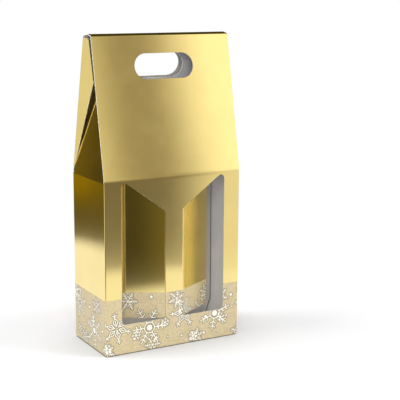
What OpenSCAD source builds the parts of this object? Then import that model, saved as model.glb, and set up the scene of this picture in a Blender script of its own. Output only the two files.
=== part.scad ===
/* [Box] */
// Width of the box, left to right
box_w = 180; // [150:1:220]
// Depth of the box, front to back
box_d = 90; // [80:1:110]
// Height of the whole box, base to top strip
box_h = 371; // [350:1:400]
// Height of the folds under the two sloping panels
fold_h = 208; // [190:1:220]
// How far the creases along the tops of the side walls lie below those folds
side_drop = 2; // [0:0.5:4]
// Thickness of the folded board
board_t = 1; // [0.6:0.1:1.2]

/* [Top strip and tuck flap] */
// Depth of the flat strip along the top
ridge_d = 22; // [16:1:30]
// How far the middle of the strip lies in front of the middle of the box
ridge_shift = 2; // [0:0.5:4]
// Length of the flap that tucks in behind the back slope
tuck_len = 71; // [60:1:75]
// Gap between each end of the tuck flap and the side of the box at its crease
tuck_inset = 4; // [3:0.5:8]
// How much each end of the tuck flap tapers to its free edge
tuck_taper = 8; // [2:1:20]
// Gap between the tuck flap and the back slope at the top
tuck_seat = 0.4; // [0.2:0.1:1]

/* [Hand hole] */
// Length of the hand hole
hole_w = 77; // [60:1:90]
// Height of the hand hole
hole_h = 30; // [24:1:34]
// Distance from the top of each panel down to the middle of its hand hole
hole_drop = 36.5; // [32:0.5:42]

/* [Windows] */
// Width of the post between the two windows
post_w = 22.5; // [16:0.5:30]
// Width of the board left beside each window
window_side = 21; // [16:1:28]
// Height of the sill under the windows
sill_h = 35; // [25:1:50]
// Distance from the front fold down to each window beside the post
window_drop = 40.5; // [30:0.5:60]
// Width of the board left between the front fold and the top of each window
window_top_gap = 3.4; // [2:0.2:12]
// Radius of the outer corners of each window
window_r = 5; // [2:0.5:8]
// Gap that the die leaves round each window flap
cut_gap = 0.3; // [0.2:0.1:0.6]
// Angle at which the window flaps stand folded inwards, in degrees
window_fold = 30; // [10:1:60]

/* [Wings] */
// Height of the lower point of each wing above the fold
wing_foot_rise = 6; // [3:1:10]
// Depth of the narrow end at the lower point of each wing
wing_foot_d = 2; // [1:0.5:4]
// Distance from the top of the box down to the lower front corner of each wing
wing_knee_drop = 51; // [46:1:80]
// Gap between the top edge of each wing and the top of the box
wing_drop = 3; // [2:0.5:8]
// Gap between the front edge of each wing and the front slope
wing_gap = 7.5; // [3:0.5:9]
// Gap by which the upper front corner of each wing swings past the top strip
wing_swing_gap = 0.6; // [0.4:0.1:3]
// Lean of the wings into the box, in degrees
wing_lean = 3; // [0:0.5:3.5]

/* [Dust flaps] */
// Lean of the dust flaps into the box, in degrees
dust_lean = 4; // [3.6:0.1:5]
// How far each dust flap reaches above the lower front corner of the wing
dust_lap = 2; // [0:0.5:5]
// Depth of the level top edge of each dust flap
dust_top_d = 14; // [6:1:15]
// Height of the rear edge of each dust flap above its crease
dust_rear_h = 50; // [40:1:60]
// Gap between the front edge of each dust flap and the front slope
dust_gap = 1.5; // [1:0.5:4]
// Distance from the back of the box to the edge that passes behind the wing
dust_set = 14; // [14:0.5:20]
// Gap under the wing where the dust flap stays clear of it
dust_edge_gap = 1.2; // [0.8:0.1:2]

/* [Base] */
// Length of the side flaps over the base panel
base_flap_len = 60; // [40:1:70]
// Gap between the front edge of each side flap and the front of the box
base_flap_front = 4.5; // [4:0.5:8]
// Gap between the rear edge of each side flap and the back of the box
base_flap_back = 2.5; // [2:0.5:5]
// Gap at each end of the base panel
base_inset = 0.6; // [0.3:0.1:1.5]
// Gap between the front wall and the crease of the base tuck
base_seat = 0.6; // [0.4:0.1:1]
// Height of the base tuck
base_tuck_h = 18; // [12:1:20]
// Lean of the base tuck away from the front wall, in degrees
base_tuck_lean = 6; // [5:1:12]
// Gap between each end of the base tuck and the side of the box
base_tuck_inset = 6; // [5:0.5:10]
// How much each end of the base tuck tapers to its free edge
base_tuck_taper = 7; // [2:1:12]

/* [Glue tab] */
// Width of the glue tab
glue_w = 25; // [15:1:28]
// Width of the bevel at each end of the glue tab
glue_bevel_w = 13; // [5:1:14]
// Height of the bevel at each end of the glue tab
glue_bevel_h = 26; // [10:1:40]
// Gap between the glue tab and the crease above or the flap below it
glue_gap = 1.5; // [0.5:0.5:5]
// Gap between the rear edge of the right wall and the back face
seam_gap = 0.3; // [0.2:0.1:0.6]

/* [Hidden] */

// Smoothness of round cuts, and the steps in each rounded outline corner
$fn = 96;
corner_steps = 8;

// How far a cutter or a trimming block runs past what it cuts
overrun = 2;

// Colours of the foiled outside, the printed wall and the grey inside
gold = [0.86, 0.74, 0.42];
pale_gold = [0.92, 0.82, 0.54];
board_grey = [0.62, 0.62, 0.64];

half_w = box_w / 2;
half_d = box_d / 2;
side_h = fold_h - side_drop;

// Where the two ridges lie, and how far each slope leans
ridge_front_y = -ridge_shift - ridge_d / 2;
ridge_back_y = ridge_d / 2 - ridge_shift;
rise = box_h - fold_h;
front_lean = atan2(ridge_front_y + half_d, rise);
back_lean = atan2(half_d - ridge_back_y, rise);
front_len = rise / cos(front_lean);
back_len = rise / cos(back_lean);
tuck_y = ridge_back_y - board_t / cos(back_lean) - tuck_seat;

// Where the back slope stops short of the top, along the panel
back_top_gap = tuck_seat;

// The side flaps of the base turn this much slower than the base panel
base_follow_share = 0.6;
// The side flaps of the base narrow from the front by this share of their length
base_front_share = 0.08;
base_y = -half_d + board_t + base_seat;

// Inner corner of a fold between two panels that meet at this angle inside
function inset(angle) = board_t / tan(angle / 2);
wing_inset = inset(90 - wing_lean);

// Depth of the faces of the slopes at a height, taken from the box's middle
function front_in_y(z) = -half_d + (z - fold_h) * tan(front_lean) + board_t / cos(front_lean);
function back_out_y(z) = half_d - (z - fold_h) * tan(back_lean);

// Upper edge of each window: it rises from beside the post and is tangent to the corner arc
window_h = fold_h - window_drop;
window_arc_x = half_w - window_side - window_r;
window_arc_z = fold_h - window_top_gap - window_r;
window_run = window_arc_x - post_w / 2;
window_fall = window_h - window_arc_z;
window_pitch = asin(window_r / norm([window_run, window_fall])) - atan2(window_fall, window_run);

// Lower edge of the wing, from its lower front corner down to its foot
wing_foot_h = fold_h + wing_foot_rise;
wing_knee_h = box_h - wing_knee_drop;
wing_knee_y = front_in_y(wing_knee_h) + wing_gap;
wing_foot_y = back_out_y(wing_foot_h) - wing_foot_d;
wing_run = (wing_foot_y - wing_knee_y) / (wing_knee_h - wing_foot_h);
function wing_low_z(y) = wing_foot_h + (wing_foot_y - y) / wing_run;

// Circle round the back fold inside which a wing swings past the rear edge of the top strip
wing_swing_r = norm([half_d - tuck_y + board_t, rise - board_t]) - wing_swing_gap;

// Points along an arc, from one angle to another
function arc(centre, r, from, to) =
    [for (i = [0 : corner_steps]) centre + r * [cos(from + (to - from) * i / corner_steps),
                                                sin(from + (to - from) * i / corner_steps)]];

// Outline of the right window, drawn in by a gap except along the post
function window_outline(gap) =
    concat([[post_w / 2, sill_h + gap]],
           arc([window_arc_x, sill_h + window_r], window_r - gap, -90, 0),
           arc([window_arc_x, window_arc_z], window_r - gap, 0, 90 + window_pitch),
           [[post_w / 2, window_h - gap / cos(window_pitch)]]);

// Outline of a wing, seen from the side
function wing_outline() =
    let (top = box_h - wing_drop)
    [[wing_foot_y, wing_foot_h], [back_out_y(wing_foot_h), wing_foot_h],
     [back_out_y(top), top], [front_in_y(top) + wing_gap, top],
     [wing_knee_y, wing_knee_h]];

// Outline of a dust flap, seen from the side
function dust_outline() =
    let (low = side_h - overrun, top = wing_knee_h + dust_lap, rear = half_d - dust_set,
         heel = half_d - board_t - dust_edge_gap, front = front_in_y(top) + dust_gap)
    [[-half_d + board_t + dust_gap / 2, low],
     [-half_d + board_t + dust_gap / 2, side_h],
     [front, top],
     [front + dust_top_d, top],
     [rear, side_h + dust_rear_h],
     [rear, wing_low_z(rear + dust_edge_gap)],
     [heel, wing_low_z(heel + dust_edge_gap)],
     [heel, low]];

// A board whose section is drawn from the side, [y, z], and runs across the box
module across(section, width) {
    translate([-width / 2, 0, 0])
        rotate([90, 0, 90])
            linear_extrude(width)
                polygon(section);
}

// A board whose section is drawn from the front, [x, z], and runs from front to back
module along(section) {
    translate([0, half_d, 0])
        rotate([90, 0, 0])
            linear_extrude(box_d)
                polygon(section);
}

// A board whose section is drawn from above, [x, y]
module upright(section, height) {
    linear_extrude(height)
        polygon(section);
}

// Geometry drawn for the left side, turned over for the right side
module on_side(side) {
    mirror([side > 0 ? 1 : 0, 0, 0])
        children();
}

// A round-ended cutter through a panel, lying along y
module hand_hole() {
    depth = board_t + 2 * overrun;
    r = hole_h / 2;
    for (end = [-1, 1])
        translate([end * (hole_w / 2 - r), depth / 2, 0])
            rotate([90, 0, 0])
                cylinder(r = r, h = depth);
    cube([hole_w - hole_h, depth, hole_h], center = true);
}

// Wedge beside the back slope's edge: it trims the slope and the wing to meet face to face
module slope_prism(section) {
    translate([0, half_d, fold_h])
        rotate([back_lean, 0, 0])
            translate([0, 0, -board_t])
                linear_extrude(back_len + 2 * board_t)
                    polygon(section);
}

module front_panel() {
    color(pale_gold)
    difference() {
        intersection() {
            upright([[-half_w, -half_d], [half_w, -half_d],
                     [half_w - board_t, -half_d + board_t],
                     [-half_w + board_t, -half_d + board_t]], fold_h);
            across([[-half_d, 0], [-half_d, fold_h],
                    [-half_d + board_t, fold_h - inset(180 - front_lean)],
                    [-half_d + board_t, 0]], box_w);
        }
        for (side = [-1, 1])
            on_side(-side)
                translate([0, -half_d + board_t + overrun, 0])
                    rotate([90, 0, 0])
                        linear_extrude(board_t + 2 * overrun)
                            polygon(window_outline(0));
    }
}

module back_panel() {
    color(pale_gold)
    intersection() {
        upright([[-half_w, half_d], [half_w - board_t, half_d],
                 [half_w - 2 * board_t, half_d - board_t],
                 [-half_w + board_t, half_d - board_t]], fold_h);
        across([[half_d, 0], [half_d, fold_h],
                [half_d - board_t, fold_h - inset(180 - back_lean)],
                [half_d - board_t, board_t]], box_w);
    }
}

// Section of a side wall from the front, from the base flap's crease to the dust flap's
function wall_section() =
    [[-half_w, board_t], [-half_w, side_h],
     [-half_w + board_t, side_h - inset(180 - dust_lean)],
     [-half_w + board_t, 2 * board_t]];

module side_wall_left() {
    color(pale_gold)
    intersection() {
        along(wall_section());
        upright([[-half_w, -half_d], [-half_w, half_d],
                 [-half_w + board_t, half_d - board_t],
                 [-half_w + board_t, -half_d + board_t]], side_h);
    }
}

module side_wall_right() {
    color(pale_gold)
    on_side(1)
    intersection() {
        along(wall_section());
        upright([[-half_w, -half_d], [-half_w, half_d - seam_gap],
                 [-half_w + board_t, half_d - seam_gap],
                 [-half_w + board_t, -half_d + board_t]], side_h);
    }
}

module glue_tab() {
    low = 2 * board_t + glue_gap;
    top = side_h - board_t - glue_gap;
    free = half_d - glue_w;
    color(board_grey)
    intersection() {
        upright([[half_w - board_t, half_d], [half_w - board_t, free],
                 [half_w - 2 * board_t, free],
                 [half_w - 2 * board_t, half_d - board_t]], side_h);
        across([[half_d, low], [free + glue_bevel_w, low], [free, low + glue_bevel_h],
                [free, top - glue_bevel_h], [free + glue_bevel_w, top], [half_d, top]], box_w);
    }
}

module front_slope() {
    color(gold)
    difference() {
        across([[-half_d, fold_h], [ridge_front_y, box_h],
                [ridge_front_y + inset(90 + front_lean), box_h - board_t],
                [-half_d + board_t, fold_h - inset(180 - front_lean)]], box_w);
        translate([0, -half_d, fold_h])
            rotate([-front_lean, 0, 0])
                translate([0, 0, front_len - hole_drop])
                    hand_hole();
    }
}

module top_strip() {
    color(gold)
    across([[ridge_front_y, box_h], [tuck_y, box_h],
            [tuck_y - board_t, box_h - board_t],
            [ridge_front_y + inset(90 + front_lean), box_h - board_t]], box_w);
}

module tuck_flap() {
    wide = half_w - tuck_inset;
    narrow = wide - tuck_taper;
    low = box_h - tuck_len;
    color(gold)
    difference() {
        intersection() {
            across([[tuck_y, box_h], [tuck_y, low], [tuck_y - board_t, low],
                    [tuck_y - board_t, box_h - board_t]], box_w);
            along([[-wide, box_h], [wide, box_h], [narrow, low], [-narrow, low]]);
        }
        translate([0, tuck_y, box_h - hole_drop])
            hand_hole();
    }
}

module back_slope() {
    end = back_len - back_top_gap;
    out = [half_d - end * sin(back_lean), fold_h + end * cos(back_lean)];
    color(gold)
    difference() {
        intersection() {
            across([[half_d, fold_h], out,
                    out - board_t * [cos(back_lean), sin(back_lean)],
                    [half_d - board_t, fold_h - inset(180 - back_lean)]], box_w);
            slope_prism([[-half_w, 0], [half_w, 0],
                         [half_w - wing_inset, -board_t], [-half_w + wing_inset, -board_t]]);
        }
        translate([0, half_d, fold_h])
            rotate([back_lean, 0, 0])
                translate([0, 0, back_len - hole_drop])
                    hand_hole();
    }
}

// A wing turns about the outer line of the back slope's edge, and swings back with the slope
module wing(side) {
    hinge = [-half_w, half_d, fold_h];
    color(pale_gold)
    on_side(side)
    intersection() {
        translate(hinge)
            rotate([back_lean, 0, 0])
                rotate([0, 0, wing_lean])
                    rotate([-back_lean, 0, 0])
                        translate([0, -half_d, -fold_h])
                            rotate([90, 0, 90])
                                linear_extrude(board_t)
                                    polygon(wing_outline());
        slope_prism([[-half_w, 0], [-half_w + wing_inset, -board_t],
                     [-half_w + wing_inset + box_d, -box_d], [-half_w - overrun, -box_d]]);
        translate(hinge - [overrun, 0, 0])
            rotate([0, 90, 0])
                cylinder(r = wing_swing_r, h = half_w);
    }
}

module dust_flap(side) {
    reach = wing_knee_h + dust_lap - side_h + overrun;
    lean = [sin(dust_lean), cos(dust_lean)];
    face = [cos(dust_lean), -sin(dust_lean)];
    foot = [-half_w, side_h];
    color(gold)
    on_side(side)
    intersection() {
        along([foot, foot + reach * lean, foot + reach * lean + board_t * face,
               [-half_w + board_t, side_h - inset(180 - dust_lean)]]);
        across(dust_outline(), box_w + overrun);
    }
}

// A window flap turns about the inner line of the post's edge
module window_flap(side) {
    hinge = [post_w / 2, -half_d + board_t, 0];
    color(gold)
    on_side(-side)
    translate(hinge)
        rotate([0, 0, window_fold])
            translate(-hinge)
                translate([0, -half_d + board_t, 0])
                    rotate([90, 0, 0])
                        linear_extrude(board_t)
                            polygon(window_outline(cut_gap));
}

module base_panel() {
    color(gold)
    across([[half_d, 0], [base_y, 0],
            [base_y + inset(90 - base_tuck_lean), board_t],
            [half_d - board_t, board_t]], box_w - 2 * base_inset);
}

module base_tuck() {
    lean = [sin(base_tuck_lean), cos(base_tuck_lean)];
    face = [cos(base_tuck_lean), -sin(base_tuck_lean)];
    foot = [base_y, 0];
    wide = half_w - base_tuck_inset;
    narrow = wide - base_tuck_taper;
    color(gold)
    intersection() {
        across([foot, foot + base_tuck_h * lean, foot + base_tuck_h * lean + board_t * face,
                foot + [inset(90 - base_tuck_lean), board_t]], box_w);
        along([[-wide, 0], [wide, 0], [narrow, base_tuck_h], [-narrow, base_tuck_h]]);
    }
}

module base_flap(side) {
    front = -half_d + base_flap_front;
    back = half_d - base_flap_back;
    tip = -half_w + base_flap_len;
    color(board_grey)
    on_side(side)
    intersection() {
        along([[-half_w, board_t], [tip, board_t], [tip, 2 * board_t],
               [-half_w + board_t, 2 * board_t]]);
        upright([[-half_w, front], [tip, front + base_front_share * base_flap_len],
                 [tip, back - base_follow_share * base_flap_len], [-half_w, back]],
                2 * board_t);
    }
}

front_panel();
back_panel();
side_wall_left();
side_wall_right();
glue_tab();
front_slope();
top_strip();
tuck_flap();
back_slope();
wing(-1);  // wing_left
wing(1);  // wing_right
dust_flap(-1);  // dust_flap_left
dust_flap(1);  // dust_flap_right
window_flap(-1);  // window_flap_left
window_flap(1);  // window_flap_right
base_panel();
base_tuck();
base_flap(-1);  // base_flap_left
base_flap(1);  // base_flap_right
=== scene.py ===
"""Looks of a gabled carrier box for two bottles, folded from gold foil board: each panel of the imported
frame is dressed as a creased, die-cut board, with a printed band round the foot. Lengths are in metres."""

import math

import bmesh
import bpy
from mathutils import Matrix, Vector


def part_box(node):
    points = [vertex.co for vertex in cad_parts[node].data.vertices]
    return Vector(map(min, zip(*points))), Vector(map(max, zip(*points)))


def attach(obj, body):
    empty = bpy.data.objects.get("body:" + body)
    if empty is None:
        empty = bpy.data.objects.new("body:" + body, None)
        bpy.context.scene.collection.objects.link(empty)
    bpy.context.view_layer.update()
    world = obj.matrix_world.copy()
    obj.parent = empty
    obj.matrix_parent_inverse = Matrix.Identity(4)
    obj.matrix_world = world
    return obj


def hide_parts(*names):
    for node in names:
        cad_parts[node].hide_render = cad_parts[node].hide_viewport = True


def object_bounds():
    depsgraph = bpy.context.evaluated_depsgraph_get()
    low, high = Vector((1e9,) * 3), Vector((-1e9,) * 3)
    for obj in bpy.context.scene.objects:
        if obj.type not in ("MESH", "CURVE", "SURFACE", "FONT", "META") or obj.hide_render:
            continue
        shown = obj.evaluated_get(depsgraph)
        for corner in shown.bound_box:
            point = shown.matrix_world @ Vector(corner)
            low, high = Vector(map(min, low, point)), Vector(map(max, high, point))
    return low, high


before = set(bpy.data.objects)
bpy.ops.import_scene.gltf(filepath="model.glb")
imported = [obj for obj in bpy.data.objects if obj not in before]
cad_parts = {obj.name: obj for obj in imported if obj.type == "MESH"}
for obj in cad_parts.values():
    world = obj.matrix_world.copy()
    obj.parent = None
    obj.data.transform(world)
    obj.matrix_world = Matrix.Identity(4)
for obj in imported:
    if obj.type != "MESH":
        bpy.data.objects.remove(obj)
cad_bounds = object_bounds()

MM = 0.001

# The box, as the frame gives it
BOX_LOW, BOX_HIGH = cad_bounds
BOX_MIDDLE = (BOX_LOW + BOX_HIGH) / 2
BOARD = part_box("top_strip")[1].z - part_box("top_strip")[0].z
WIDTH = BOX_HIGH.x - BOX_LOW.x
DEPTH = BOX_HIGH.y - BOX_LOW.y
GIRTH = 2 * (WIDTH + DEPTH)

# Creases: most are sharp folds, those that turn little bend softly, and the least are only pressed in
SHARP_RADIUS, SOFT_RADIUS = 1.15 * MM, 38 * MM
SOFT_TURN = math.radians(20)
GROOVED_TURN = math.radians(8)
LEAST_TURN = math.radians(3)
CREASE_STEPS = 5
GROOVE_WIDTH, GROOVE_DEPTH = 0.7 * MM, 0.2 * MM

# Cut edges: how far a rim is eased, and how squarely one of its faces looks outward to be covered by foil
PRINTED_RIM = (0.35 * MM, 0.3)
BARE_RIM = (0.45 * MM, 0.95)
RIM_STEPS = 2

# The top strip's bow, and the height above which a wing's cut edge runs beside the slope, in its shade, which
# is painted on the edge
STRIP_BOW = 1.5 * MM
BOW_STEPS = 12
WING_CORNER = 319 * MM
WING_CORNER_BLUR = 2 * MM

# The printed band round the foot: its top, how far a flake's dark outline spreads, and how blurred both end
BAND_TOP = 67.4 * MM
INK_EDGE = 0.85 * MM
PRINT_BLUR, INK_EDGE_BLUR = 0.1 * MM, 0.2 * MM

# Face groups of a board, in the order of its material slots
OUTSIDE, INSIDE, CUT, MITRE = 0, 1, 2, 3

# Tolerances of the mesh work, and how much the large faces of a panel lead its shading
WELD_REACH, CUT_REACH, LINE_REACH = 1e-6, 1e-7, 0.02 * MM
SAME_WAY, SQUARE_WAY = 0.999, 0.01
WAY_DIGITS = 3
FLAT_TURN, HARD_TURN = math.radians(0.3), math.radians(40)
PANEL_WEIGHT = 100


class Wire:
    """An output of a node. Sums and products of wires and numbers add Math nodes to its tree."""

    def __init__(self, tree, socket):
        self.tree = tree
        self.socket = socket

    def maths(self, operation, *values):
        return self.tree.node("ShaderNodeMath", {"operation": operation}, values)

    def __add__(self, other):
        return self.maths("ADD", self, other)

    def __radd__(self, other):
        return self.maths("ADD", other, self)

    def __sub__(self, other):
        return self.maths("SUBTRACT", self, other)

    def __rsub__(self, other):
        return self.maths("SUBTRACT", other, self)

    def __mul__(self, other):
        return self.maths("MULTIPLY", self, other)

    def __rmul__(self, other):
        return self.maths("MULTIPLY", other, self)

    def __truediv__(self, other):
        return self.maths("DIVIDE", self, other)

    def __rtruediv__(self, other):
        return self.maths("DIVIDE", other, self)

    def __abs__(self):
        return self.maths("ABSOLUTE", self)

    def floor(self):
        return self.maths("FLOOR", self)

    def sine(self):
        return self.maths("SINE", self)

    def cosine(self):
        return self.maths("COSINE", self)

    def exponent(self):
        return self.maths("EXPONENT", self)

    def least(self, other):
        return self.maths("MINIMUM", self, other)

    def most(self, other):
        return self.maths("MAXIMUM", self, other)

    def step(self, start, end):
        """0 at start and before it, 1 at end and past it, and a smooth step between them."""
        settings = {"interpolation_type": "SMOOTHSTEP"}
        low, high, first, last = (start, end, 0.0, 1.0) if start < end else (end, start, 1.0, 0.0)
        return self.tree.node("ShaderNodeMapRange", settings, (self, low, high, first, last))

    def between(self, ends, blur):
        """1 between two ends, which are blurred, and 0 outside them."""
        return self.step(ends[0] - blur, ends[0] + blur) * self.step(ends[1] + blur, ends[1] - blur)


class Tree:
    """The nodes of one material, or of the world."""

    def __init__(self, owner):
        owner.use_nodes = True
        self.nodes = owner.node_tree.nodes
        self.links = owner.node_tree.links
        self.nodes.clear()

    def node(self, kind, settings, inputs, output=0):
        """Adds a node. Its settings come first. Inputs are values or wires, in order or by socket name."""
        made = self.nodes.new(kind)
        for name, value in settings.items():
            setattr(made, name, value)
        named = inputs.items() if isinstance(inputs, dict) else enumerate(inputs)
        for key, value in named:
            if isinstance(value, Wire):
                self.links.new(value.socket, made.inputs[key])
            else:
                made.inputs[key].default_value = value
        return Wire(self, made.outputs[output]) if len(made.outputs) else None

    def mix(self, share, first, second):
        """A colour between two colours."""
        rgba = [(*c, 1.0) if isinstance(c, tuple) else c for c in (first, second)]
        settings = {"data_type": "RGBA", "clamp_factor": True}
        return self.node("ShaderNodeMix", settings, {0: share, 6: rgba[0], 7: rgba[1]}, output=2)

    def noise(self, place, size, detail, roughness):
        """Grey noise around 0.5 with lumps of about this size."""
        values = {"Vector": place, "Scale": 1.0 / size, "Detail": detail, "Roughness": roughness}
        return self.node("ShaderNodeTexNoise", {}, values)

    def openness(self, reach, way):
        """1 where nothing stands within reach on the side that a direction points to, less near a piece."""
        settings, values = {"samples": OPENNESS_SAMPLES}, {"Distance": reach, "Normal": way}
        return self.node("ShaderNodeAmbientOcclusion", settings, values, output="AO")

    def place(self):
        """Where a point of the piece lies in the box at rest."""
        return self.node("ShaderNodeTexCoord", {}, (), output="Object")

    def sheet(self):
        """Distance round the box, and height, of a point of the walls' print."""
        uv = self.node("ShaderNodeUVMap", {"uv_map": "sheet"}, ())
        return self.split(uv)[:2]

    def split(self, vector):
        return [self.node("ShaderNodeSeparateXYZ", {}, (vector,), output=i) for i in range(3)]

    def join(self, x, y, z=0.0):
        return self.node("ShaderNodeCombineXYZ", {}, (x, y, z))

    def vector(self, operation, *values, output=0):
        return self.node("ShaderNodeVectorMath", {"operation": operation}, values, output)

    def length(self, vector):
        return self.vector("LENGTH", vector, output="Value")

    def blend(self, share, first, second):
        """A shader between two shaders."""
        return self.node("ShaderNodeMixShader", {}, (share, first, second))

    def paper(self, colour):
        """A matt shader of one colour."""
        return self.node("ShaderNodeBsdfDiffuse", {}, {"Color": (*colour, 1.0)})

    def glow(self, strength, colour):
        """A shader that gives off light."""
        return self.node("ShaderNodeEmission", {}, {"Color": (*colour, 1.0), "Strength": strength})

    def ray(self, name):
        """What kind of ray sees the surface, or how often it has bounced."""
        return self.node("ShaderNodeLightPath", {}, (), output=name)

    def bump(self, height, depth, normal=None):
        values = {"Height": height, "Distance": depth}
        if normal:
            values["Normal"] = normal
        return self.node("ShaderNodeBump", {}, values)

    def surface(self, **values):
        """A Principled surface, joined to the output. Its sockets are named with underscores."""
        named = {name.replace("_", " ").title(): value for name, value in values.items()}
        self.node("ShaderNodeOutputMaterial", {}, (self.node("ShaderNodeBsdfPrincipled", {}, named),))


# Colours
GOLD = (1.0, 0.79, 0.31)
KRAFT = (0.71, 0.59, 0.35)
KRAFT_DARK = (0.54, 0.43, 0.235)
KRAFT_PALE = (0.84, 0.74, 0.51)
INK = (0.97, 0.95, 0.85)
INK_SHADE = (0.17, 0.12, 0.035)
GREY_BACK = (0.54, 0.54, 0.56)
GREY_FIBRE = (0.62, 0.62, 0.63)
CORE, CORE_DARK = (0.97, 0.91, 0.72), (0.80, 0.71, 0.50)
# The glue tab's cut edge, painted dark as the shade in the gap along it
TAB_GAP_SHADE, TAB_GAP_SHADE_DARK = (0.10, 0.08, 0.06), (0.05, 0.04, 0.03)
# Painted shade for a wing's cut edge where it runs beside the slope
SHADED_CORE = (0.12, 0.09, 0.04)
GILDED_CORE, GILDED_CORE_DARK = (1.0, 0.84, 0.42), (0.90, 0.72, 0.32)
WHITE = (1.0, 1.0, 1.0)
BLACK = (0.0, 0.0, 0.0)

# Noises of the finishes, as (size of lumps, detail, roughness), and the greys between which each comes up
FOIL_WAVES = (60 * MM, 1.0, 0.5)
FOIL_PEEL = (1.6 * MM, 2.0, 0.5)
FOIL_GRAIN = (0.5 * MM, 2.0, 0.5)
FOIL_SMEARS, SMEARS_SHOWN = (28 * MM, 4.0, 0.6), (0.42, 0.75)
FOIL_TONE, TONE_SHOWN = (40 * MM, 3.0, 0.5), (0.35, 0.7)
KRAFT_MOTTLE, MOTTLE_SHOWN = (12 * MM, 4.0, 0.6), (0.3, 0.75)
KRAFT_SPECKS, SPECKS_SHOWN = (2 * MM, 3.0, 0.7), (0.38, 0.65)
KRAFT_FIBRES, KRAFT_FIBRES_SHOWN = (0.9 * MM, 3.0, 0.7), (0.45, 0.75)
BACK_CLOUD, CLOUD_SHOWN = (22 * MM, 3.0, 0.5), (0.3, 0.75)
BACK_FIBRES, BACK_FIBRES_SHOWN = (0.7 * MM, 4.0, 0.7), (0.55, 0.8)
CORE_PLIES, PLIES_SHOWN = (0.35 * MM, 3.0, 0.7), (0.35, 0.75)

# How strong each patch, fibre or shade of a finish is
TONE_SHARE, CLOUD_SHARE = 0.96, 0.93
MOTTLE_SHARE, SPECKS_SHARE, KRAFT_FIBRES_SHARE = 0.3, 0.7, 0.6
INK_SHADE_SHARE = 0.8
BACK_FIBRES_SHARE = 0.4

# Relief, from the lowest to the highest point of a noise or a print
WAVES_HEIGHT, PEEL_HEIGHT = 0.012 * MM, 0.0015 * MM
PRINT_HEIGHT, UNINKED_SHARE = 0.02 * MM, 0.5
BACK_HEIGHT, CORE_HEIGHT = 0.02 * MM, 0.03 * MM

# Roughness of each finish, and what its noise adds
FOIL_ROUGHNESS, SMEARS_ROUGHNESS, GRAIN_ROUGHNESS = 0.065, 0.02, 0.02
KRAFT_ROUGHNESS, KRAFT_FIBRES_ROUGHNESS = 0.42, 0.1
BACK_ROUGHNESS, BACK_FIBRES_ROUGHNESS = 0.62, 0.12
CORE_ROUGHNESS = 0.75


def dimmed(colour, share):
    return tuple(share * c for c in colour)


def foil_relief(tree, place):
    """Normal of pressed foil: a fine orange peel over a slow unevenness of the board."""
    waves = tree.bump(tree.noise(place, *FOIL_WAVES), WAVES_HEIGHT)
    return tree.bump(tree.noise(place, *FOIL_PEEL), PEEL_HEIGHT, waves)


def foil_roughness(tree, place):
    """Nearly a mirror, with faint smears and a fine grain."""
    smears = tree.noise(place, *FOIL_SMEARS).step(*SMEARS_SHOWN)
    grain = tree.noise(place, *FOIL_GRAIN) - 0.5
    return FOIL_ROUGHNESS + SMEARS_ROUGHNESS * smears + GRAIN_ROUGHNESS * grain


def foil_colour(tree, place):
    """Gold with slow and slight changes of tone."""
    tone = tree.noise(place, *FOIL_TONE).step(*TONE_SHOWN)
    return tree.mix(tone, GOLD, dimmed(GOLD, TONE_SHARE))


def gold_foil():
    """Plain gold foil, the outside of the gable and the base."""
    material = bpy.data.materials.new("gold_foil_board")
    tree = Tree(material)
    place = tree.place()
    tree.surface(base_color=foil_colour(tree, place), metallic=1.0, roughness=foil_roughness(tree, place),
                 normal=foil_relief(tree, place))
    return material


# The flakes of the band, which have six arms with side branches
HALF_ARM = math.radians(30)
BRANCH_TURN = math.radians(60)


def branch(foot, reach):
    """Ends of a side branch of an arm."""
    return (foot, 0.0), (foot + reach * math.cos(BRANCH_TURN), reach * math.sin(BRANCH_TURN))


# Half an arm of each flake, laid along x, as straight lines in shares of the flake's size
FERN_SHARES = [((0.0, 0.0), (1.0, 0.0)), branch(0.34, 0.25), branch(0.55, 0.24), branch(0.76, 0.15)]
PETAL_SHARES = [((0.16, 0.0), (0.42, 0.17)), ((0.42, 0.17), (0.72, 0.0)), ((0.72, 0.0), (1.0, 0.0)),
                branch(0.8, 0.16), ((0.3, 0.0), (0.52, 0.0))]
WHEEL_SHARES = [((0.3, 0.0), (1.0, 0.0)), branch(0.48, 0.22), branch(0.72, 0.2)]
SPARK_SHARES = [((0.0, 0.0), (1.0, 0.0)), branch(0.55, 0.35)]
RING_SHARE, HUB_SHARE = 0.3, 0.14

# Rows of flakes: figure, size, half a stroke's width, count, start, middle height, sway, waves of the sway
FLAKE_ROWS = [
    (WHEEL_SHARES, 22 * MM, 0.6 * MM, 6, 12 * MM, 27 * MM, 5 * MM, 2),
    (PETAL_SHARES, 19 * MM, 0.55 * MM, 6, 59 * MM, 39 * MM, 8 * MM, 2),
    (FERN_SHARES, 11 * MM, 0.38 * MM, 9, 31 * MM, 5 * MM, 3 * MM, 4),
    (FERN_SHARES, 12 * MM, 0.4 * MM, 9, 4 * MM, 56 * MM, 6 * MM, 4),
    (SPARK_SHARES, 6.5 * MM, 0.38 * MM, 14, 20 * MM, 20 * MM, 13 * MM, 5),
]

# Rows of dots: radius, then as the flakes
DOT_ROWS = [
    (1.9 * MM, 15, 8 * MM, 45 * MM, 17 * MM, 4),
    (1.5 * MM, 17, 21 * MM, 16 * MM, 11 * MM, 5),
    (1.1 * MM, 24, 3 * MM, 30 * MM, 26 * MM, 7),
]

# How far each figure of a row is turned against the one before it, in radians
NEXT_TURN = 0.7


def stroke(tree, point, start, end):
    """Distance of a point from a straight line between two ends."""
    run = (end[0] - start[0], end[1] - start[1])
    length = math.hypot(*run)
    along = tuple(c / length for c in run)
    away = tree.vector("SUBTRACT", point, (*start, 0.0))
    share = tree.vector("DOT_PRODUCT", away, (*along, 0.0), output="Value").most(0.0).least(length)
    foot = tree.node("ShaderNodeVectorMath", {"operation": "SCALE"}, {0: (*along, 0.0), 3: share})
    return tree.vector("DISTANCE", away, foot, output="Value")


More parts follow.
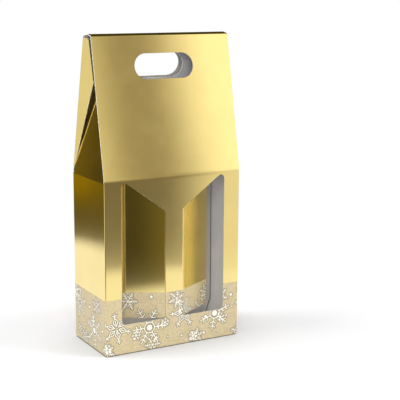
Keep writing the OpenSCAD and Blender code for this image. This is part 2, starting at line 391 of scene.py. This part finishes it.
def sixfold(tree, point):
    """Folds a point of a six-armed figure into half of the arm that lies along x."""
    x, y = tree.split(point)[:2]
    radius = tree.length(point)
    angle = tree.node("ShaderNodeMath", {"operation": "ARCTAN2"}, (y, x))
    folded = tree.node("ShaderNodeMath", {"operation": "PINGPONG"}, (angle, HALF_ARM))
    return tree.join(radius * folded.cosine(), radius * folded.sine())


def flake(tree, point, shares, size):
    """Distance of a point from the middle of the strokes of a flake. The wheel has a ring and a solid hub."""
    folded = sixfold(tree, point)
    lines = [[tuple(size * c for c in end) for end in line] for line in shares]
    distance = stroke(tree, folded, *lines[0])
    for line in lines[1:]:
        distance = distance.least(stroke(tree, folded, *line))
    if shares is WHEEL_SHARES:
        radius = tree.length(point)
        distance = distance.least(abs(radius - RING_SHARE * size)).least(radius - HUB_SHARE * size)
    return distance


def scattered(tree, round_box, height, count, start, middle, sway, waves):
    """Place of a point in its own cell of a row of figures round the box, with each figure's height and turn
    set by its number in the row."""
    pitch = GIRTH / count
    counted = (round_box - start) / pitch
    number = counted.floor()
    x = (counted - number - 0.5) * pitch
    y = height - middle - sway * (number * (2 * math.pi * waves / count)).sine()
    return tree.node("ShaderNodeVectorRotate", {"rotation_type": "Z_AXIS"},
                     {"Vector": tree.join(x, y), "Angle": number * NEXT_TURN})


def inked(tree, round_box, height):
    """Distance of a point of the band outside the nearest flake or dot, and less than 0 inside it."""
    found = []
    for shares, size, half_width, *row in FLAKE_ROWS:
        point = scattered(tree, round_box, height, *row)
        found.append(flake(tree, point, shares, size) - half_width)
    for radius, *row in DOT_ROWS:
        found.append(tree.length(scattered(tree, round_box, height, *row)) - radius)
    distance = found[0]
    for other in found[1:]:
        distance = distance.least(other)
    return distance


def kraft_colour(tree, place, fibres):
    """Speckled brown paper with pale fibres."""
    mottle = tree.noise(place, *KRAFT_MOTTLE).step(*MOTTLE_SHOWN)
    specks = tree.noise(place, *KRAFT_SPECKS).step(*SPECKS_SHOWN)
    kraft = tree.mix(MOTTLE_SHARE * mottle + SPECKS_SHARE * specks, KRAFT, KRAFT_DARK)
    return tree.mix(KRAFT_FIBRES_SHARE * fibres.step(*KRAFT_FIBRES_SHOWN), kraft, KRAFT_PALE)


def printed_foil():
    """Gold foil above, and a printed band of pale flakes on speckled kraft round the foot."""
    material = bpy.data.materials.new("printed_foil_board")
    tree = Tree(material)
    place = tree.place()
    round_box, height = tree.sheet()
    band = height.step(BAND_TOP + PRINT_BLUR, BAND_TOP - PRINT_BLUR)
    distance = inked(tree, round_box, height)
    ink = distance.step(PRINT_BLUR, -PRINT_BLUR)
    shade = distance.step(INK_EDGE + INK_EDGE_BLUR, INK_EDGE - INK_EDGE_BLUR) * (1 - ink)
    fibres = tree.noise(place, *KRAFT_FIBRES)
    printed = tree.mix(INK_SHADE_SHARE * shade, kraft_colour(tree, place, fibres), INK_SHADE)
    printed = tree.mix(ink, printed, INK)
    paper_roughness = KRAFT_ROUGHNESS + KRAFT_FIBRES_ROUGHNESS * fibres
    rough = foil_roughness(tree, place) * (1 - band) + paper_roughness * band
    raised = band * (UNINKED_SHARE + (1 - UNINKED_SHARE) * ink)
    tree.surface(base_color=tree.mix(band, foil_colour(tree, place), printed), metallic=1 - band,
                 roughness=rough, normal=tree.bump(raised, PRINT_HEIGHT, foil_relief(tree, place)))
    return material


def grey_back():
    """The unprinted grey back of the board, which lines the box."""
    material = bpy.data.materials.new("grey_board_back")
    tree = Tree(material)
    place = tree.place()
    fibres = tree.noise(place, *BACK_FIBRES)
    cloud = tree.noise(place, *BACK_CLOUD).step(*CLOUD_SHOWN)
    colour = tree.mix(cloud, GREY_BACK, dimmed(GREY_BACK, CLOUD_SHARE))
    colour = tree.mix(BACK_FIBRES_SHARE * fibres.step(*BACK_FIBRES_SHOWN), colour, GREY_FIBRE)
    tree.surface(base_color=colour, roughness=BACK_ROUGHNESS + BACK_FIBRES_ROUGHNESS * fibres,
                 normal=tree.bump(fibres, BACK_HEIGHT))
    return material


def cut_core(name, core, core_dark, shaded_from=None):
    """The core that shows where the board is cut. A wing's is painted dark where it runs beside the slope, as
    painted shade of the slope.
    """
    material = bpy.data.materials.new(name)
    tree = Tree(material)
    place = tree.place()
    plies = tree.noise(place, *CORE_PLIES)
    colour = tree.mix(plies.step(*PLIES_SHOWN), core, core_dark)
    if shaded_from:
        height = tree.split(place)[2]
        # painted shade: the wing's cut edge turns dark above shaded_from, beside the slope
        colour = tree.mix(height.step(shaded_from, shaded_from + WING_CORNER_BLUR), colour, SHADED_CORE)
    tree.surface(base_color=colour, roughness=CORE_ROUGHNESS, normal=tree.bump(plies, CORE_HEIGHT))
    return material


# Materials of the boards: their two outsides, their back, and their cut edges
FOIL = gold_foil()
PRINT = printed_foil()
BACK = grey_back()
EDGE = cut_core("cut_board_core", CORE, CORE_DARK)
# painted shade: the glue tab's cut edge is dark as the shade of the gap beside it
TAB_EDGE_SHADE = cut_core("tab_edge_painted_shade", TAB_GAP_SHADE, TAB_GAP_SHADE_DARK)
# The wing's edge: gilded core, with painted shade above WING_CORNER
WING_EDGE = cut_core("gilded_board_core_painted_shade", GILDED_CORE, GILDED_CORE_DARK, shaded_from=WING_CORNER)


def outward(bm):
    """The direction that the outside face of a flat board looks in."""
    areas = {}
    for face in bm.faces:
        way = tuple(round(c, WAY_DIGITS) for c in face.normal)
        areas[way] = areas.get(way, 0.0) + face.calc_area()
    way = Vector(max(areas, key=areas.get)).normalized()
    largest = max((f for f in bm.faces if f.normal.dot(way) > SAME_WAY), key=lambda f: f.calc_area())
    normal = largest.normal.copy()
    middle = sum((v.co for v in bm.verts), Vector()) / len(bm.verts)
    return normal if normal.dot(middle - BOX_MIDDLE) > 0 else -normal


def sort_faces(bm, outer):
    """Marks each face as the outside, the inside, a cut edge or the mitre of a crease."""
    for face in bm.faces:
        facing = face.normal.dot(outer)
        if facing > SAME_WAY:
            face.material_index = OUTSIDE
        elif facing < -SAME_WAY:
            face.material_index = INSIDE
        else:
            face.material_index = MITRE if abs(facing) > SQUARE_WAY else CUT


def creases(bm, outer):
    """The outer lines of the creases, each as (a point of it, the way into the board, the turn)."""
    found = []
    for edge in bm.edges:
        kinds = {face.material_index for face in edge.link_faces}
        if kinds != {OUTSIDE, MITRE}:
            continue
        mitre = next(f for f in edge.link_faces if f.material_index == MITRE)
        turn = 2 * (outer.angle(mitre.normal) - math.pi / 2)
        if turn < LEAST_TURN:
            continue
        start = edge.verts[0].co.copy()
        inward = outer.cross((edge.verts[1].co - start).normalized())
        if inward.dot(mitre.normal) > 0:
            inward = -inward
        if not any(abs((start - point).dot(way)) < LINE_REACH and abs(way.dot(inward)) > SAME_WAY
                   for point, way, _ in found):
            found.append((start, inward, turn))
    return found


def shell(bm):
    """The vertices of the outside face."""
    return {v for f in bm.faces if f.material_index == OUTSIDE for v in f.verts}


def cut_shell(bm, point, normal):
    """Cuts the outside face along a plane, so that it can bend there."""
    faces = [f for f in bm.faces if f.material_index == OUTSIDE]
    parts = list({v for f in faces for v in f.verts}) + list({e for f in faces for e in f.edges}) + faces
    bmesh.ops.bisect_plane(bm, geom=parts, dist=CUT_REACH, plane_co=point, plane_no=normal)


def round_crease(bm, outer, start, inward, turn):
    """Bends the outside of the board round a crease, up to the mitre where the next panel goes on."""
    radius = SOFT_RADIUS if turn < SOFT_TURN else SHARP_RADIUS
    reach = radius * math.tan(turn / 2)
    for i in range(CREASE_STEPS):
        cut_shell(bm, start + inward * (reach - radius * math.sin(turn / 2 * i / CREASE_STEPS)), inward)
    nearest_way = reach - radius * math.sin(turn / 2)
    for vert in shell(bm):
        way = (vert.co - start).dot(inward)
        if way < reach - CUT_REACH:
            placed = max(way, nearest_way)
            depth = radius - math.sqrt(radius ** 2 - (reach - placed) ** 2)
            vert.co += inward * (placed - way) - outer * depth


def groove_crease(bm, outer, start, inward):
    """Presses the outside of the board in along a crease that hardly turns."""
    cut_shell(bm, start + inward * GROOVE_WIDTH, inward)
    for vert in shell(bm):
        way = (vert.co - start).dot(inward)
        if way < GROOVE_WIDTH - CUT_REACH:
            vert.co -= outer * GROOVE_DEPTH * (1 - way / GROOVE_WIDTH)


def round_rims(bm, outer, radius, foil_end):
    """Eases the rims of the cut edges, as the die leaves them, with the foil drawn over the outer ones."""
    rims = [e for e in bm.edges if len(e.link_faces) == 2
            and {f.material_index for f in e.link_faces} in ({OUTSIDE, CUT}, {INSIDE, CUT})]
    made = bmesh.ops.bevel(bm, geom=rims, offset=radius, offset_type="OFFSET", segments=RIM_STEPS,
                           profile=0.5, affect="EDGES", clamp_overlap=True, material=CUT)
    for face in made["faces"]:
        if face.normal.dot(outer) > foil_end:
            face.material_index = OUTSIDE


def bow(bm, outer, rise):
    """Bends a narrow panel up between its two long creases, as springy board stands."""
    front = min(v.co.y for v in bm.verts)
    depth = max(v.co.y for v in bm.verts) - front
    for i in range(1, BOW_STEPS):
        parts = list(bm.verts) + list(bm.edges) + list(bm.faces)
        cut = Vector((0.0, front + depth * i / BOW_STEPS, 0.0))
        bmesh.ops.bisect_plane(bm, geom=parts, dist=CUT_REACH, plane_co=cut, plane_no=Vector((0.0, 1.0, 0.0)))
    for vert in bm.verts:
        share = (vert.co.y - front) / depth
        vert.co += outer * rise * (4 * share * (1 - share)) ** 2


def lay_sheet(bm, outer, corner, start):
    """Writes the distance round the box, from a start at a corner, and the height, as a map of the print."""
    layer = bm.loops.layers.uv.new("sheet")
    across = Vector((-outer.y, outer.x, 0.0)).normalized()
    for face in bm.faces:
        for loop in face.loops:
            loop[layer].uv = (start + (loop.vert.co - corner).dot(across), loop.vert.co.z)


def finish_faces(bm, foil_round):
    """Puts foil on the cut edges nearer the middle than foil_round, lines the mitres, and shades the panel
    smooth but for its hard edges."""
    for face in bm.faces:
        if face.material_index == CUT and abs(face.calc_center_median().x) < foil_round:
            face.material_index = OUTSIDE
        if face.material_index == MITRE:
            face.material_index = INSIDE
        face.smooth = True
    for line in bm.edges:
        line.smooth = len(line.link_faces) == 2 and line.calc_face_angle(0.0) < HARD_TURN


def board(node, body, outside, sheet=None, rise=0.0, edge=EDGE, foil_round=0.0):
    """A panel of the box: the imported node's own shape, with rounded creases and eased cut edges. Nearer the
    middle than foil_round, the foil runs on round the edges, as a flap was folded from them."""
    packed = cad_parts[node]
    bm = bmesh.new()
    bm.from_mesh(packed.data)
    bm.transform(packed.matrix_world)
    bmesh.ops.remove_doubles(bm, verts=bm.verts, dist=WELD_REACH)
    bmesh.ops.dissolve_limit(bm, angle_limit=FLAT_TURN, verts=bm.verts, edges=bm.edges)
    outer = outward(bm)
    sort_faces(bm, outer)
    for start, inward, turn in creases(bm, outer):
        if turn < GROOVED_TURN:
            groove_crease(bm, outer, start, inward)
        else:
            round_crease(bm, outer, start, inward, turn)
    round_rims(bm, outer, *(PRINTED_RIM if sheet else BARE_RIM))
    if rise:
        bow(bm, outer, rise)
    if sheet:
        lay_sheet(bm, outer, *sheet)
    finish_faces(bm, foil_round)
    mesh = bpy.data.meshes.new(node + "_board")
    bm.to_mesh(mesh)
    bm.free()
    for material in (outside, BACK, edge):
        mesh.materials.append(material)
    piece = bpy.data.objects.new(node + "_board", mesh)
    bpy.context.scene.collection.objects.link(piece)
    shading = piece.modifiers.new("flat_panels", "WEIGHTED_NORMAL")
    shading.keep_sharp = True
    shading.weight = PANEL_WEIGHT
    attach(piece, body)
    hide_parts(node)


def walls():
    """The four walls and the window flaps, whose print runs on round the box from the front's left corner."""
    front, right = BOX_LOW, Vector((BOX_HIGH.x, BOX_LOW.y, 0))
    back, left = BOX_HIGH, Vector((BOX_LOW.x, BOX_HIGH.y, 0))
    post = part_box("window_flap_right")[0].x
    hinge_y = BOX_LOW.y + BOARD
    sheets = {
        "front_panel": ("carton", front, 0.0),
        "side_wall_right": ("carton", right, WIDTH),
        "back_panel": ("carton", back, WIDTH + DEPTH),
        "side_wall_left": ("carton", left, 2 * WIDTH + DEPTH),
        "window_flap_left": ("window_left", Vector((-post, hinge_y, 0)), WIDTH / 2 - post),
        "window_flap_right": ("window_right", Vector((post, hinge_y, 0)), WIDTH / 2 + post),
    }
    for node, (body, corner, start) in sheets.items():
        folded = node in ("front_panel", "window_flap_left", "window_flap_right")
        board(node, body, PRINT, (corner, start),
              foil_round=post + BOARD if folded else 0.0)


def gable():
    """The slopes, the strip along the top, and the flaps that tuck in round them."""
    riders = {"front_slope": "lid", "top_strip": "strip", "tuck_flap": "tuck", "back_slope": "rear",
              "wing_left": "wing_left", "wing_right": "wing_right",
              "dust_flap_left": "dust_left", "dust_flap_right": "dust_right"}
    for node, body in riders.items():
        board(node, body, FOIL, edge=WING_EDGE if "wing" in node else EDGE,
              rise=STRIP_BOW if node == "top_strip" else 0.0)


def base():
    """The bottom that folds shut, and the glued tab of the seam."""
    board("base_panel", "base", FOIL)
    board("base_tuck", "base_tuck", FOIL)
    board("base_flap_left", "base_left", FOIL)
    board("base_flap_right", "base_right", FOIL)
    # The tab's cut edge is painted dark, as painted shade of the gap along it
    board("glue_tab", "carton", BACK, edge=TAB_EDGE_SHADE)


# The studio's floor
FLOOR_SIZE = 6.0
FLOOR_DROP = 1.0 * MM

# The lit pool of the floor that the foil mirrors. It narrows to the front, and is cut back at the front left
POOL_X = 0.055
POOL_FRONT, POOL_BACK = -0.13, 0.36
POOL_FRONT_RADIUS, POOL_BACK_RADIUS = 0.252, 0.369
POOL_BLUR = 0.039
POOL_LIGHT = (0.99, 1.02, 1.09)
POOL_NOTCH = 0.009
NOTCH_X, NOTCH_Y = (-0.06, -0.16), (-0.16, -0.24)

# The pool's light past its edge: a thin glow all round, and a wide one at the front right
RIM_GLOW, RIM_REACH = 0.25, 0.055
HALO, HALO_REACH = 0.24, 0.16
HALO_X, HALO_Y = (-0.12, 0.06), (0.0, -0.2)

# The floor's paper, as it lights the box and as the camera sees it, which turns white away from the box
FLOOR_PAPER = (0.62, 0.62, 0.62)
SEEN_PAPER = (0.70, 0.70, 0.70)
FLOOR_GLOW = 0.19
SHADOW_REACH, SHADOW_END = 0.19, 0.40

# Painted shade on the floor, from how open it is: close under the box's lower edge, and in a wider strip
# behind the box
OPENNESS_SAMPLES = 12
CONTACT_REACH, CONTACT_SHOWN = 3 * MM, (0.1, 0.9)
BESIDE_REACH, BESIDE_SHADE = 70 * MM, 0.42
BESIDE_LEAN = (0.0, -0.85, 0.53)


def pool_dark(tree, x, y):
    """0 in the lit pool of the floor and 1 far from it."""
    spine = y.most(POOL_FRONT).least(POOL_BACK)
    widening = (POOL_BACK_RADIUS - POOL_FRONT_RADIUS) / (POOL_BACK - POOL_FRONT)
    radius = POOL_FRONT_RADIUS + (spine - POOL_FRONT) * widening
    edge = tree.length(tree.join(x - POOL_X, y - spine)) - radius
    edge = edge + POOL_NOTCH * (x.step(*NOTCH_X) * y.step(*NOTCH_Y))
    past = edge.most(0.0)
    halo = HALO * (past * (-1 / HALO_REACH)).exponent() * x.step(*HALO_X) * y.step(*HALO_Y)
    rim = RIM_GLOW * (past * (-1 / RIM_REACH)).exponent()
    return edge.step(-POOL_BLUR, POOL_BLUR) * (1 - halo) * (1 - rim)


def seen_floor(tree, x, y):
    """The floor as the camera sees it: pale paper with the box's shadows and painted shade near it, which
    turns white away from it.
    """
    lit = tree.node("ShaderNodeAddShader", {}, (tree.paper(SEEN_PAPER), tree.glow(FLOOR_GLOW, WHITE)))
    contact = tree.openness(CONTACT_REACH, (0.0, 0.0, 1.0)).step(*CONTACT_SHOWN)
    beside = tree.openness(BESIDE_REACH, BESIDE_LEAN)
    # painted shade: the paper darkens towards black where the box stands close by
    lit = tree.blend(contact * (1 - BESIDE_SHADE * (1 - beside)), tree.paper(BLACK), lit)
    far = tree.length(tree.join(x, y)).step(SHADOW_REACH, SHADOW_END)
    return tree.blend(far, lit, tree.glow(1.0, WHITE))


def floor():
    """A pale floor with soft shadows. The foil mirrors only the lit pool of it round the box."""
    mesh = bpy.data.meshes.new("floor")
    half = FLOOR_SIZE / 2
    corners = [(-half, -half, 0), (half, -half, 0), (half, half, 0), (-half, half, 0)]
    mesh.from_pydata(corners, [], [(0, 1, 2, 3)])
    plane = bpy.data.objects.new("floor", mesh)
    bpy.context.scene.collection.objects.link(plane)
    plane.location.z = BOX_LOW.z - FLOOR_DROP
    material = bpy.data.materials.new("studio_floor")
    mesh.materials.append(material)
    tree = Tree(material)
    x, y = tree.split(tree.place())[:2]
    clear = tree.node("ShaderNodeBsdfTransparent", {}, ())
    mirrored = tree.blend(pool_dark(tree, x, y), tree.glow(1.0, POOL_LIGHT), clear)
    shown = tree.blend(tree.ray("Is Camera Ray"), tree.paper(FLOOR_PAPER), seen_floor(tree, x, y))
    shown = tree.blend(tree.ray("Is Glossy Ray"), shown, mirrored)
    tree.node("ShaderNodeOutputMaterial", {}, (shown,))


# The studio. Directions are in degrees: bearings from +Y towards +X, heights above the horizon
FULL_TURN, FIRST_BEARING, BEARING_BLUR = 360, -100, 0.01

# What the foil mirrors, each box laid over those before it: bearings, heights, blurs of both, colour
STUDIO_DARK = (0.055, 0.043, 0.004)
STUDIO = [
    ((98, 192), (-60, -3), (2, 5), (0.19, 0.175, 0.145)),
    ((98, 192), (-3, 36), (2, 5), (0.335, 0.307, 0.25)),
    ((155, 192), (31, 75), (2, 5), (0.34, 0.31, 0.255)),
    ((-34, 4), (-60, -11.6), (4, 1), (0.115, 0.09, 0.024)),
    ((-24.5, 4), (-11.6, -8.6), (1.4, 1), (0.26, 0.18, 0.004)),
    ((-24.6, 4), (-7.8, 30), (0.9, 1), (0.15, 0.11, 0.012)),
    ((154.8, 176), (1, 22), (1.2, 6), (0.72, 0.70, 0.62)),
    ((-38, -27.2), (-22, 42), (0.7, 4), (0.765, 0.76, 0.64)),
    ((88, 150.6), (-30, 0), (1.7, 4), (0.85, 0.85, 0.83)),
    ((88, 150.5), (0, 34), (2.0, 4), (1.22, 1.22, 1.22)),
    ((196, 240), (-30, 10), (4, 4), (0.062, 0.055, 0.024)),
    ((196, 212.7), (-30, 10), (1.2, 4), (0.17, 0.145, 0.045)),
    ((46, 80), (-20, 34), (6, 6), (0.85, 0.85, 0.85)),
    ((230, 262), (-30, 50), (6, 6), (0.62, 0.60, 0.55)),
    ((-92, -46), (-30, 60), (6, 6), (1.0, 0.97, 0.90)),
    ((-110, 270), (74, 100), (1, 6), (0.9, 0.9, 0.9)),
]

# Light on matt surfaces, straight and off the foil, and the counts of bounces between which it changes
EVEN_LIGHT = (0.49, 0.49, 0.50)
FOIL_BOUNCE = (0.32, 0.32, 0.32)
STRAIGHT_SHOWN = (0.6, 0.4)


def studio_world():
    """White to the camera, even light on matt surfaces, and soft boxes in a dim studio for the foil."""
    world = bpy.data.worlds.new("studio")
    bpy.context.scene.world = world
    tree = Tree(world)
    x, y, z = tree.split(tree.node("ShaderNodeTexCoord", {}, (), output="Generated"))
    bearing = tree.node("ShaderNodeMath", {"operation": "ARCTAN2"}, (x, y)) * math.degrees(1)
    height = tree.node("ShaderNodeMath", {"operation": "ARCSINE"}, (z,)) * math.degrees(1)
    bearing = bearing + FULL_TURN * bearing.step(FIRST_BEARING, FIRST_BEARING - BEARING_BLUR)
    mirrored = STUDIO_DARK
    for bearings, heights, (bearing_blur, height_blur), colour in STUDIO:
        share = bearing.between(bearings, bearing_blur) * height.between(heights, height_blur)
        mirrored = tree.mix(share, mirrored, colour)
    straight = tree.ray("Diffuse Depth").step(*STRAIGHT_SHOWN)
    seen = tree.mix(tree.ray("Is Glossy Ray"), EVEN_LIGHT, tree.mix(straight, FOIL_BOUNCE, mirrored))
    seen = tree.mix(tree.ray("Is Camera Ray"), seen, WHITE)
    background = tree.node("ShaderNodeBackground", {}, (seen, 1.0))
    tree.node("ShaderNodeOutputWorld", {}, (background,))


# Lamps round the box: name, bearing and height in degrees, distance, width and power in watts
SOFT_LAMPS = [
    ("key_lamp", -68.0, 53.0, 1.8, 1.0, 19.5),
    ("fill_lamp", 128.0, 51.0, 1.8, 0.8, 15.0),
    ("window_lamp", -155.0, 20.0, 1.6, 0.9, 11.0),
]

# Light that the windows spread over the grey inside, most of it off the base
INNER_PLACE, INNER_RADIUS = (0.0, 0.012, 0.045), 0.025
INNER_POWER, INNER_COLOUR = 0.045, (1.0, 0.91, 0.74)

# Light that a window and the gold flaps throw on the walls inside: name, place, size, way, power, colour
FLAP_GOLD = (1.0, 0.87, 0.36)
STRIP_LAMPS = [
    ("wall_lamp", (0.064, 0.004, 0.100), (0.03, 0.19), (1.0, 0.0, 0.0), 0.0085, (1.0, 0.95, 0.84)),
    ("corner_lamp", (-0.074, -0.039, 0.112), (0.004, 0.17), (-1.0, -1.0, 0.0), 0.0062, FLAP_GOLD),
    ("corner_lamp", (0.074, -0.039, 0.112), (0.004, 0.17), (1.0, -1.0, 0.0), 0.0155, FLAP_GOLD),
]


def lamp(name, kind, place, power, colour=WHITE):
    """A lamp that lights matt surfaces. The foil mirrors the studio's own boxes in its place."""
    data = bpy.data.lights.new(name, kind)
    data.energy = power
    data.color = colour
    made = bpy.data.objects.new(name, data)
    bpy.context.scene.collection.objects.link(made)
    made.location = place
    made.visible_glossy = False
    return made


def aim(made, way):
    """Turns a lamp to look along a direction."""
    made.rotation_mode = "QUATERNION"
    made.rotation_quaternion = Vector(way).to_track_quat("-Z", "Y")


def lamps():
    """The soft lamps round the box, and small ones in it that the camera doesn't see."""
    for name, bearing, height, distance, width, power in SOFT_LAMPS:
        a, e = math.radians(bearing), math.radians(height)
        way = Vector((math.sin(a) * math.cos(e), math.cos(a) * math.cos(e), math.sin(e)))
        soft = lamp(name, "AREA", BOX_MIDDLE + way * distance, power)
        soft.data.shape = "DISK"
        soft.data.size = width
        aim(soft, -way)
    inner = lamp("inner_lamp", "POINT", INNER_PLACE, INNER_POWER, INNER_COLOUR)
    inner.data.shadow_soft_size = INNER_RADIUS
    inner.visible_camera = False
    for name, place, (width, height), way, power, colour in STRIP_LAMPS:
        strip = lamp(name, "AREA", place, power, colour)
        strip.data.shape = "RECTANGLE"
        strip.data.size, strip.data.size_y = width, height
        strip.visible_camera = False
        aim(strip, way)


# The camera: its place, and the way it looks, as a bearing from +Y towards +X and a drop below the horizon
CAMERA_PLACE = Vector((-0.5786, -1.1198, 0.4315))
CAMERA_BEARING = math.radians(29.73)
CAMERA_DROP = math.radians(11.67)
CAMERA_ROLL = math.radians(0.39)
CAMERA_REACH = 50.0
FOCAL_PIXELS = 1056.5
PHOTO_WIDTH = 400
SENSOR_WIDTH = 36.0


def camera():
    """The camera at the photo's viewing angle."""
    data = bpy.data.cameras.new("camera")
    data.sensor_width = SENSOR_WIDTH
    data.lens = FOCAL_PIXELS / PHOTO_WIDTH * SENSOR_WIDTH
    data.clip_end = CAMERA_REACH
    eye = bpy.data.objects.new("camera", data)
    bpy.context.scene.collection.objects.link(eye)
    forward = Vector((math.sin(CAMERA_BEARING) * math.cos(CAMERA_DROP),
                      math.cos(CAMERA_BEARING) * math.cos(CAMERA_DROP), -math.sin(CAMERA_DROP)))
    right = Vector((math.cos(CAMERA_BEARING), -math.sin(CAMERA_BEARING), 0.0))
    up = right.cross(forward)
    level, tilt = math.cos(CAMERA_ROLL), math.sin(CAMERA_ROLL)
    axes = Matrix((level * right + tilt * up, level * up - tilt * right, -forward)).transposed()
    eye.matrix_world = Matrix.Translation(CAMERA_PLACE) @ axes.to_4x4()
    bpy.context.scene.camera = eye


camera()
walls()
gable()
base()
floor()
studio_world()
lamps()
bpy.context.scene.view_settings.view_transform = "Standard"
